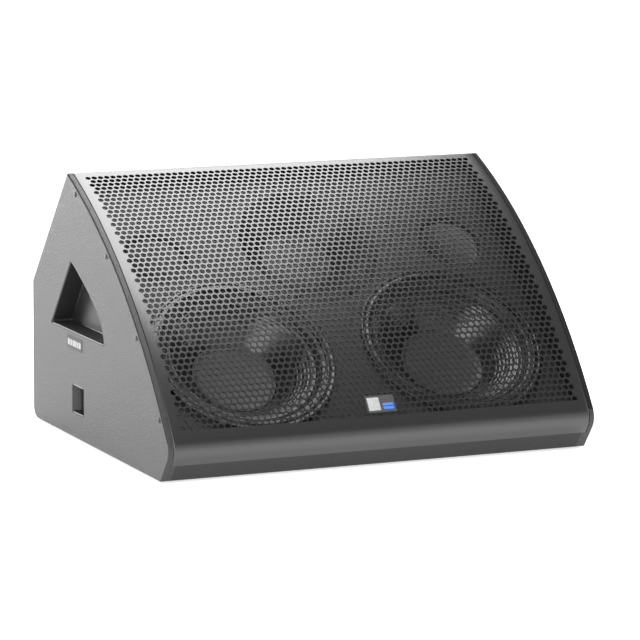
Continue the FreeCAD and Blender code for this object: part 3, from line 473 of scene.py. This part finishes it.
def sheet_path():
    """The grille's outer line in the side view, from its top return to its lower end. It gives the
    line's (point, outward normal) stations, the function that finds a point on the arc, the first
    station of the rows of holes, and the corner of the flange's inner edge under the apex."""
    apex, nose = np.array(APEX), np.array(NOSE)
    slope = unit(np.array(KNEE) - apex)
    slope_in = np.array((slope[1], -slope[0]))
    bevel = unit(np.array(TOE) - nose)
    bevel_in = np.array((-bevel[1], bevel[0]))
    top_c, top_edge, top_arc = corner_round(apex, slope, slope_in, APEX_R)
    low_c, low_edge, low_arc = corner_round(nose, bevel, bevel_in, NOSE_R)
    top_s = ARC_R * math.asin((top_arc - ARC_C) @ UP / ARC_R)
    low_s = ARC_R * math.asin((low_arc - ARC_C) @ UP / ARC_R)

    def at(s):
        """The point and the normal at s along the arc, or on the round over its top end."""
        if s > top_s:
            start = unit(top_arc - top_c)
            turn = (s - top_s) / APEX_R
            side = np.array((start[1], -start[0]))
            n = start * math.cos(turn) + side * math.sin(turn)
            return top_c + n * APEX_R, n
        n = UP * math.sin(s / ARC_R) + OUT * math.cos(s / ARC_R)
        return ARC_C + n * ARC_R, n

    stations = []
    reach = GRILLE_RETURN / -(slope @ OUT)
    for share in np.linspace(0, 1, RETURN_STEPS + 1)[:-1]:
        stations.append((apex + slope * reach * (1 - share) + (top_edge - apex) * share, -slope_in))
    turn_all = math.acos(np.clip(unit(top_edge - top_c) @ unit(top_arc - top_c), -1, 1))
    first = FIRST_ROW + PITCH_S / 2
    for s in np.linspace(top_s + turn_all * APEX_R, first, TOP_STEPS + 1)[:-1]:
        stations.append(at(s))
    lattice_start = len(stations)
    for k in range(ROWS + 1):
        stations.append(at(first - k * PITCH_S))
    last = first - ROWS * PITCH_S
    for s in np.linspace(last, low_s, LOW_STEPS + 1)[1:]:
        stations.append(at(s))
    a, b = unit(low_arc - low_c), unit(low_edge - low_c)
    sweep = math.acos(np.clip(a @ b, -1, 1))
    for share in np.linspace(0, 1, NOSE_STEPS + 1)[1:]:
        n = (a * math.sin((1 - share) * sweep) + b * math.sin(share * sweep)) / math.sin(sweep)
        stations.append((low_c + n * NOSE_R, n))
    bevel_end = nose + bevel * GRILLE_END * math.hypot(TOE[0] - NOSE[0], TOE[1] - NOSE[1])
    for share in np.linspace(0, 1, BEVEL_STEPS + 1)[1:]:
        stations.append((low_edge + (bevel_end - low_edge) * share, -bevel_in))
    return stations, at, lattice_start, inset_corner(apex, slope_in)


def inset_corner(corner, inward):
    """Where the flange's inner edges meet behind a corner."""
    along = np.array((-inward[1], inward[0]))
    if along @ (ARC_C - corner) < 0:
        along = -along
    b = corner + FLANGE_DEPTH * inward - ARC_C
    half = float(b @ along)
    root = math.sqrt(max(half ** 2 - float(b @ b) + (ARC_R - FLANGE_DEPTH) ** 2, 0))
    u = min((-half - root, -half + root), key=abs)
    return corner + FLANGE_DEPTH * inward + u * along


def lift(p):
    """Keeps a flange point in front of the plane where the flange ends."""
    t, w = (p - np.array(CHORD_MID)) @ UP, (p - np.array(CHORD_MID)) @ OUT
    return p + OUT * (-GRILLE_RETURN - w) if w < -GRILLE_RETURN and t > FLANGE_TOP_T else p


def grille():
    """One sheet with its side flanges and all its hexagonal holes, made thick at the end."""
    stations, at, start, top_corner = sheet_path()
    columns = [(-GRILLE_EDGE, FLANGE_DEPTH)]
    for i in range(BEND_STEPS):
        turn = math.pi / 2 * (1 - i / (BEND_STEPS - 1))
        columns.append((-GRILLE_EDGE + BEND_R * (1 - math.sin(turn)), BEND_R * (1 - math.cos(turn))))
    half_width = HOLES * PITCH_X / 2
    first_column = len(columns)
    columns += [(-half_width + i * PITCH_X / 2, 0.0) for i in range(2 * HOLES + 1)]
    columns += [(-x, inset) for x, inset in reversed(columns[:first_column])]
    width = len(columns)
    verts = []
    for row, (p, n) in enumerate(stations):
        for x, inset in columns:
            q = p - n * inset
            if inset > BEND_R:
                q = lift(top_corner if row < start else q)
            verts.append((x, *q))
    faces = []
    last_column = first_column + 2 * HOLES
    for row in range(len(stations) - 1):
        for c in range(width - 1):
            if start <= row < start + ROWS and first_column <= c < last_column:
                continue
            top, low = row * width + c, (row + 1) * width + c
            faces.append((low, low + 1, top + 1, top))
    for k in range(ROWS):
        odd = k % 2
        top = (start + k) * width + first_column
        low = top + width
        if odd:
            faces.append((low, low + 1, top + 1, top))
            faces.append((low + 2 * HOLES - 1, low + 2 * HOLES, top + 2 * HOLES, top + 2 * HOLES - 1))
        s = FIRST_ROW - k * PITCH_S
        for j in range(HOLES - odd):
            c = 2 * j + odd
            x = -half_width + (c + 1) * PITCH_X / 2
            base = len(verts)
            for dx, ds in HEXAGON:
                verts.append((x + dx * HOLE_HALF, *at(s + ds * HOLE_TALL)[0]))
            around = (top + c + 1, top + c + 2, low + c + 2, low + c + 1, low + c, top + c)
            for i in range(len(HEXAGON)):
                faces.append((around[i - 1], base + (i - 1) % len(HEXAGON), base + i, around[i]))
    placed = np.asarray(verts) + np.array(SHIFT)
    piece("grille_sheet", placed, faces, GRILLE, "cabinet", ["grille"], thickness=SHEET_T)


grille()


# ---------------------------------------------------------------- handle pockets and side recesses
def arc_through(a, m, b, count):
    """Points on the arc from a through m to b, without b."""
    a, m, b = (complex(*p) for p in (a, m, b))
    w = (b - a) / (m - a)
    centre = a + (m - a) * (w - abs(w) ** 2) / (2j * w.imag)
    start = math.atan2((a - centre).imag, (a - centre).real)
    mid = math.atan2((m - centre).imag, (m - centre).real)
    end = math.atan2((b - centre).imag, (b - centre).real)
    full = 2 * math.pi
    sweep = (end - start) % full
    if (mid - start) % full > sweep:
        sweep -= full
    radius = abs(a - centre)
    return [(centre.real + radius * math.cos(start + sweep * i / count),
             centre.imag + radius * math.sin(start + sweep * i / count)) for i in range(count)]


def round_corners(points, corners, radius, count=6):
    """The closed line with the named corners rounded."""
    out = []
    n = len(points)
    for i, p in enumerate(points):
        if i not in corners:
            out.append(p)
            continue
        p = np.array(p)
        a, b = unit(np.array(points[i - 1]) - p), unit(np.array(points[(i + 1) % n]) - p)
        half = math.acos(np.clip(a @ b, -1, 1)) / 2
        back = radius / math.tan(half)
        centre = p + unit(a + b) * radius / math.sin(half)
        u, v = unit(p + a * back - centre), unit(p + b * back - centre)
        sweep = math.acos(np.clip(u @ v, -1, 1))
        for k in range(count + 1):
            share = k / count
            d = (u * math.sin((1 - share) * sweep) + v * math.sin(share * sweep)) / math.sin(sweep)
            out.append(tuple(centre + d * radius))
    return out


def rounded_box(low, high, radius, count):
    """A rectangle between two corners, with its corners rounded."""
    (a0, b0), (a1, b1) = low, high
    return round_corners([(a0, b0), (a1, b0), (a1, b1), (a0, b1)], {0, 1, 2, 3}, radius, count)


MITRE_LIMIT = 0.35  # keeps a sharp corner from running far out


def offset(points, grow):
    """Moves a closed line that runs counter-clockwise outwards by grow."""
    pts = np.array(points)
    before, after = np.roll(pts, 1, 0), np.roll(pts, -1, 0)
    out = []
    for p, q, r in zip(before, pts, after):
        n1 = unit((q - p)[::-1] * (1, -1))
        n2 = unit((r - q)[::-1] * (1, -1))
        n = unit(n1 + n2)
        out.append(q + n * grow / max(n @ n1, MITRE_LIMIT))
    return out


# Measures of both liners, in mm, and the steps of their lip and of the round at their floor.
LINER_WALL, LINER_LIP, LINER_FLOOR_R = 2.4, 1.2, 1.3
LIP_STEPS, FLOOR_STEPS = 8, 5


def liner(name, line, depth, side, wall_lit_shaded_finish, on_wall):
    """A moulded pocket with a rounded lip and rounded inner corners; line is in (y, z), in mm.
    on_wall says which points of the line are on the one wall that takes the given copy of the plastic,
    darker for painted shade and lighter for painted light."""
    area = sum(a[0] * b[1] - b[0] * a[1] for a, b in zip(line, line[1:] + line[:1]))
    line = line if area > 0 else line[::-1]
    half = LINER_WALL / 2
    rings = [(LINER_WALL, depth + LINER_WALL), (LINER_WALL, LINER_LIP + 0.4)]
    for i in range(LIP_STEPS + 1):
        turn = math.pi * i / LIP_STEPS
        rings.append((half + half * math.cos(turn), LINER_LIP + 0.2 - LINER_LIP * math.sin(turn)))
    wall_start = len(rings) - 1
    rings.append((0, depth - LINER_FLOOR_R))
    for i in range(1, FLOOR_STEPS + 1):
        turn = math.pi / 2 * i / FLOOR_STEPS
        rings.append((-LINER_FLOOR_R * (1 - math.cos(turn)),
                      depth - LINER_FLOOR_R + LINER_FLOOR_R * math.sin(turn)))
    count = len(line)
    verts = []
    for grow, deep in rings:
        verts += [(side * (HALF / MM - deep), y, z) for y, z in offset(line, grow)]
    faces = capped(len(rings), count)
    special = [wall_start * count + a for a in range(count)
               if on_wall(line[a]) and on_wall(line[(a + 1) % count])]
    if side < 0:
        faces = [f[::-1] for f in faces]
    placed = np.array(verts) * MM + np.array(SHIFT)
    end = side_name(side)
    piece(f"{name}_liner_{end}", placed, faces, [LINER, wall_lit_shaded_finish], "cabinet",
          [f"{name}_{end}"], sharp=40, second=special)


# The handle pocket: a level floor, a straight back and two arcs in front. All in mm.
POCKET_FLOOR, POCKET_BACK, POCKET_FRONT = 178.6, 222.5, -22.2
POCKET_TOP, POCKET_BEND = (129.6, 293.2), (22.5, 236.5)
POCKET_DEPTH, RECESS_DEPTH = 35.0, 15.0
RECESS_LOW, RECESS_HIGH = (72.4, 43.7), (122.9, 87.4)

pocket = [(POCKET_BACK, POCKET_FLOOR), POCKET_TOP]
pocket += arc_through(POCKET_TOP, (60.8, 259.2), POCKET_BEND, 12)[1:]
pocket += arc_through(POCKET_BEND, (-6.7, 211.6), (POCKET_FRONT, POCKET_FLOOR), 10)
pocket += [(POCKET_FRONT, POCKET_FLOOR)]
pocket = round_corners(pocket, {0, 1, len(pocket) - 1}, 3.0)
recess = rounded_box(RECESS_LOW, RECESS_HIGH, 2.5, 6)
# In each handle pocket the ledge takes painted shade; in each side recess the back wall takes painted light.
for side in (-1, 1):
    liner("handle_cup", pocket, POCKET_DEPTH, side, LINER_LEDGE_SHADED, lambda p: p[1] < POCKET_FLOOR + 1)
    liner("side_recess", recess, RECESS_DEPTH, side, RECESS_WALL_LIT, lambda p: p[0] > RECESS_HIGH[0] - 1)


# ---------------------------------------------------------------- woofers
# Outlines of turned parts are (radius, height over the baffle) in mm.
CONE_RIM = (122.0, -5.0)
CONE_NECK = [(50.0, -62.0), (62.0, -55.5)]
CAP_RIM = (70.0, -50.5)
NECK_SLOPE, RIM_SLOPE = 1.25, 0.56
RIB_FROM, RIB_TO, RIB_COUNT, RIB_HEIGHT = 86.0, 117.0, 6, 0.32
CONE_STEPS, RIPPLE_STEPS = 96, 40
PAPER_T, CLOTH_T = 1.0, 0.8
DUST_CAP = [
    (0, -54.0), (61.6, -54.0), (69.6, -49.8), (70.1, -49.2), (69.9, -48.6), (69.2, -48.5), (67.8, -49.1),
    (65.6, -50.6), (63.6, -51.9), (62.0, -52.6), (60.4, -52.9), (0, -53.0),
]
GASKET_RING = [
    (141.2, 5.0), (155.8, 5.0), (155.8, 8.0), (155.6, 8.7), (155.1, 9.2), (154.4, 9.4), (150.5, 9.4),
    (149.6, 8.8), (147.4, 8.8), (146.5, 9.4), (142.6, 9.4), (141.9, 9.2), (141.4, 8.7), (141.2, 8.0),
]
# Each rippled ring: its clamped line, its moving line, and the radii that its glued edges reach.
SURROUND_OUT, SURROUND_IN = (135.4, 4.9), (124.0, -3.7)
SURROUND_GLUED = (142.5, 119.0)
SPIDER_OUT, SPIDER_IN = (86.0, -64.0), (51.4, -72.0)
SPIDER_GLUED = (86.2, 51.2)


def thin(line, thickness):
    """The closed outline of a turned skin below an open (radius, height) line."""
    return [(r, z - thickness) for r, z in line] + list(reversed(line))


def ribbed_cone():
    """The paper cone: it flares, and small ribs run round its outer part."""
    line = list(CONE_NECK)
    reach = CONE_RIM[0] - 3 - CAP_RIM[0]
    for i in range(CONE_STEPS + 1):
        out = reach * i / CONE_STEPS
        rise = NECK_SLOPE * out - (NECK_SLOPE - RIM_SLOPE) * out ** 2 / (2 * reach)
        share = (CAP_RIM[0] + out - RIB_FROM) / (RIB_TO - RIB_FROM)
        rib = RIB_HEIGHT * math.sin(share * RIB_COUNT * math.pi * 2) if 0 < share < 1 else 0.0
        line.append((CAP_RIM[0] + out, CAP_RIM[1] + rise + rib))
    return thin(line + [CONE_RIM], PAPER_T)


def rippled(outer, inner, waves, height, glued):
    """A cloth ring that ripples between its clamped line and its moving line."""
    line = [(glued[0], outer[1])]
    for i in range(RIPPLE_STEPS + 1):
        share = i / RIPPLE_STEPS
        ripple = height * math.sin(share * waves * math.pi * 2) * math.sin(share * math.pi)
        line.append((outer[0] + (inner[0] - outer[0]) * share,
                     outer[1] + (inner[1] - outer[1]) * share + ripple))
    line.append((glued[1], inner[1]))
    return thin(line[::-1], CLOTH_T)


def woofer(side):
    """One woofer's cone and dust cap, which move, its two cloth rings, which ride on no body, and its
    gasket.
    """
    end = side_name(side)
    place = on_face(side * WOOFER_X, WOOFER_T, BAFFLE_W)
    moving = f"{end}_cone"

    def turned(name, profile, finish, body, nodes, segments=144, sharp=32.0):
        verts, faces = lathe(profile, place, segments)
        return piece(f"{name}_{end}", verts, faces, finish, body, nodes, sharp)

    def height(z):
        return place @ Vector((0, 0, z * MM))

    turned("ribbed_cone", ribbed_cone(), PAPER, moving, [f"woofer_cone_{end}"], 160, 60)
    turned("dust_cap", DUST_CAP, CAP, moving, [f"woofer_dust_cap_{end}"], sharp=50)
    ring = rippled(SURROUND_OUT, SURROUND_IN, 3, 1.2, SURROUND_GLUED)
    surround = turned("surround", ring, CLOTH, None, [f"woofer_surround_{end}"])
    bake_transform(surround)
    ring = rippled(SPIDER_OUT, SPIDER_IN, 4, 1.3, SPIDER_GLUED)
    spider = turned("spider", ring, CLOTH, None, [f"woofer_spider_{end}"], 96)
    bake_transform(spider)
    turned("gasket", GASKET_RING, GASKET, "cabinet", [f"woofer_gasket_{end}"], sharp=50)


for side in (-1, 1):
    woofer(side)


# ---------------------------------------------------------------- horn and ports
HORN_MOUTH_R, HORN_THROAT_R, HORN_DEPTH, HORN_BELLY = 112.6, 61.0, 43.8, 1.4
HORN_STEPS = 24
HORN_BACK = [
    (46, -108), (46, -101), (28, -101), (42, -74), (60, -50), (66, -47), (116, -3), (129, -3), (129, -0.8),
    (128.2, 0),
]
HORN_THROAT = [(61, -45), (56, -45), (38, -70), (25, -92), (19, -108)]
THROAT_SCREEN = [(0, -45.0), (60.8, -45.0), (60.8, -44.3), (60.2, -44.0), (0, -44.0)]


def horn():
    """The horn with its flare and throat, and the mesh screen across the throat."""
    place = on_face(0, HORN_T, BAFFLE_W)
    flare = [(HORN_MOUTH_R, 0.0)]
    for i in range(1, HORN_STEPS + 1):
        share = i / HORN_STEPS
        narrowing = (HORN_MOUTH_R - HORN_THROAT_R) * share + HORN_BELLY * math.sin(share * math.pi)
        flare.append((HORN_MOUTH_R - narrowing, -HORN_DEPTH * share))
    verts, faces = lathe(HORN_BACK + flare + HORN_THROAT, place)
    piece("horn_flare", verts, faces, HORN, "cabinet", ["horn"])
    verts, faces = lathe(THROAT_SCREEN, place)
    piece("horn_screen", verts, faces, SCREEN, "cabinet", ["throat_screen"])


horn()

PORT_R, PORT_FLARE, PORT_FLARE_DEPTH, PORT_DEPTH = 50, 7, 18, 130
PORT_STEPS = 8
PORT_OUTSIDE = [
    (59.2, 0.0), (59.8, -0.6), (59.8, -3), (54.3, -3), (54.3, -12), (53, -20), (53, -PORT_DEPTH),
]
PORT_PAINTED = 9 * MM  # how far in the mouth has the baffle's paint


def port(side):
    """A port tube with its flared mouth. Its deeper faces take the tube's plastic, made light grey as
    painted light.
    """
    end = side_name(side)
    place = on_face(side * PORT_X, PORT_T, BAFFLE_W)
    mouth = [(PORT_R, -PORT_DEPTH), (PORT_R, -PORT_FLARE_DEPTH)]
    for i in range(1, PORT_STEPS + 1):
        turn = math.pi / 2 * i / PORT_STEPS
        mouth.append((PORT_R + PORT_FLARE * (1 - math.cos(turn)), PORT_FLARE_DEPTH * (math.sin(turn) - 1)))
    verts, faces = lathe((mouth + PORT_OUTSIDE)[::-1], place, 120)
    depth = -place_all(verts, place.inverted())[:, 2]
    deep = [i for i, face in enumerate(faces) if depth[list(face)].min() > PORT_PAINTED]
    piece(f"port_flare_{end}", verts, faces, [BAFFLE, PORT_LIT], "cabinet",
          [f"port_tube_{end}"], second=deep)


for side in (-1, 1):
    port(side)


# ---------------------------------------------------------------- badge and label
# The badge's measures are mm from its middle, and heights over the face.
BADGE_PLATE = (-25, 25, -14.2, 14.2, 0.0, 1.5)
BADGE_SQUARE = (-22.5, -2.0, -11.0, 11.0, 1.4, 1.95)
BADGE_BARS_X = (3.0, 21.5)
BADGE_BARS_T = (-7.5, -1.5)
BADGE_BAR_HALF = 2.2
# The label's blocks are shares of its length and heights in mm.
LABEL_BLOCKS = [(0.07, 0.22), (0.25, 0.36), (0.39, 0.60), (0.63, 0.76), (0.79, 0.94)]
LABEL_BLOCKS_Z = (153.4, 163.6)
LABEL_SUNK, LABEL_PROUD = 0.3, 0.05


def face_point(x, t, height):
    """A point at chord place t, so high above the face's arc."""
    w = math.sqrt(ARC_R ** 2 - t ** 2)
    n = np.array((t, w)) / ARC_R
    p = ARC_C + (UP * n[0] + OUT * n[1]) * (ARC_R + height)
    return (x + SHIFT.x, p[0] + SHIFT.y, p[1] + SHIFT.z)


def plate(name, x0, x1, t0, t1, low, high, finish, slot, nodes=(), corner=1.2, edge=0.4):
    """A thin plate that follows the face's arc, with rounded corners and a softened edge. In mm."""
    line = rounded_box((x0, t0), (x1, t1), corner, 5)
    rings = [(0.0, low), (0.0, high - edge), (-edge * 0.3, high - edge * 0.3), (-edge, high)]
    verts = []
    for grow, height in rings:
        verts += [face_point(x * MM, BADGE_T + t * MM, height * MM) for x, t in offset(line, grow)]
    piece(name, verts, capped(len(rings), len(line)), finish, "cabinet", list(nodes))


def label_bar():
    """A row of plain pale blocks on the side label, where a name would stand."""
    low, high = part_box("label_plate")
    verts, faces = [], []
    for start, end in LABEL_BLOCKS:
        y0, y1 = (low.y + (high.y - low.y) * share for share in (start, end))
        y0, y1 = ((y - SHIFT.y) / MM for y in (y0, y1))
        outline = rounded_box((y0, LABEL_BLOCKS_Z[0]), (y1, LABEL_BLOCKS_Z[1]), 0.8, 4)
        base, count = len(verts), len(outline)
        for out in (-LABEL_SUNK, LABEL_PROUD):
            verts += [(low.x - out * MM, y * MM + SHIFT.y, z * MM + SHIFT.z) for y, z in outline]
        faces += bands(2, count, base)
        faces.append(tuple(range(base + count, base + 2 * count)))
    piece("label_bar", verts, faces, PRINT, "cabinet", [])


plate("badge_plate", *BADGE_PLATE, BADGE, "badge", ["badge"])
plate("badge_square", *BADGE_SQUARE, SILVER, "badge", corner=0.8, edge=0.2)
for i, t in enumerate(BADGE_BARS_T):
    plate(f"badge_bar_{i}", *BADGE_BARS_X, t - BADGE_BAR_HALF, t + BADGE_BAR_HALF, 1.4, 1.8, BLUE, "badge",
          corner=0.8, edge=0.15)
label_bar()


# ---------------------------------------------------------------- floor, light and camera
FLOOR_HALF = 4.0
FLOOR_Z = cad_box[0][2]
# Each light: name, place, what it looks at, width, height, radiance, turn about the vertical. The
# places and sizes are in metres.
LIGHTS = [
    ("overhead", (0.25, 0.64, 1.7), (0.25, 0.64, 0), 1.06, 1.95, 6.9, math.radians(-24)),
    ("back_left", (-2.2, 4.6, 0.9), (0, 0, 0.2), 3.0, 2.4, 8.5, 0.0),
    ("front_left", (-1.95, -2.45, 1.5), (0, -0.1, 0.2), 1.8, 3.0, 5.0, 0.0),
    ("front_right", (2.75, -0.8, 0.85), (0, -0.1, 0.2), 1.0, 1.2, 4.6, 0.0),
]
# How bright the surroundings are, by the upward part of the direction: 0 is the horizon and all
# below it, and 1 is straight up. The ends of the ramp come first.
SKY = ((0.0, 1.05), (1.0, 0.35), (0.25, 1.05), (0.45, 0.2))


def floor():
    """A wide sheet of paper that glows a little, at the height of the feet."""
    mesh = bpy.data.meshes.new("floor")
    corners = [(-1, -1), (1, -1), (1, 1), (-1, 1)]
    mesh.from_pydata([(x * FLOOR_HALF, y * FLOOR_HALF, FLOOR_Z) for x, y in corners], [], [(0, 1, 2, 3)])
    made = bpy.data.objects.new("floor", mesh)
    bpy.context.scene.collection.objects.link(made)
    mesh.materials.append(FLOOR_PAPER)


def softbox(name, at, target, width, height, radiance, turn):
    """A rectangular area light of a given radiance."""
    light = bpy.data.lights.new(name, "AREA")
    light.shape = "RECTANGLE"
    light.size = width
    light.size_y = height
    light.energy = radiance * math.pi * width * height
    made = bpy.data.objects.new(name, light)
    bpy.context.scene.collection.objects.link(made)
    made.location = at
    aim = (Vector(target) - Vector(at)).to_track_quat("-Z", "Y")
    made.rotation_euler = (Matrix.Rotation(turn, 3, "Z") @ aim.to_matrix()).to_euler()


def studio():
    """Surroundings whose brightness depends on the height of the direction only."""
    world = bpy.data.worlds.new("studio")
    bpy.context.scene.world = world
    world.use_nodes = True
    tree = world.node_tree
    where = node(tree, "TexCoord", -900)
    split = node(tree, "SeparateXYZ", -700)
    tree.links.new(where.outputs["Generated"], split.inputs["Vector"])
    ramp = node(tree, "ValToRGB", -450)
    stops = ramp.color_ramp.elements
    for i, (position, value) in enumerate(SKY):
        stop = stops[i] if i < 2 else stops.new(position)
        stop.position = position
        stop.color = (value, value, value, 1)
    tree.links.new(split.outputs["Z"], ramp.inputs["Fac"])
    tree.links.new(ramp.outputs["Color"], tree.nodes["Background"].inputs["Color"])


AZIMUTH = math.radians(-24.0026)
ELEVATION = math.radians(9.6443)
ROLL = math.radians(0.3656)
LENS_MM = 218.85
SENSOR_MM = 36.0
# Seen from the camera, the cabinet's point (0, SEEN_Y, 0) lies this far to the right, down and
# ahead, in mm.
SEEN_RIGHT, SEEN_DOWN, SEEN_AHEAD = -143.83, 141.22, 6798.92
SEEN_Y = 311.4 * MM


def place_camera():
    """The camera, turned by AZIMUTH, tipped down by ELEVATION and rolled a little."""
    level = Vector((math.cos(AZIMUTH), math.sin(AZIMUTH), 0))
    forward = Vector((-math.sin(AZIMUTH) * math.cos(ELEVATION), math.cos(AZIMUTH) * math.cos(ELEVATION),
                      -math.sin(ELEVATION)))
    upright = level.cross(forward)
    right = math.cos(ROLL) * level + math.sin(ROLL) * upright
    above = math.cos(ROLL) * upright - math.sin(ROLL) * level
    lens = bpy.data.cameras.new("camera")
    lens.lens = LENS_MM
    lens.sensor_width = SENSOR_MM
    lens.clip_end = 100.0
    camera = bpy.data.objects.new("camera", lens)
    bpy.context.scene.collection.objects.link(camera)
    camera.matrix_world = Matrix((right, above, -forward)).transposed().to_4x4()
    at = (-SEEN_RIGHT * right + SEEN_DOWN * above - SEEN_AHEAD * forward) * MM
    camera.location = at + Vector((0, SEEN_Y, 0)) + SHIFT
    bpy.context.scene.camera = camera
    bpy.context.scene.view_settings.view_transform = "Standard"


floor()
for light in LIGHTS:
    softbox(*light)
studio()
place_camera()
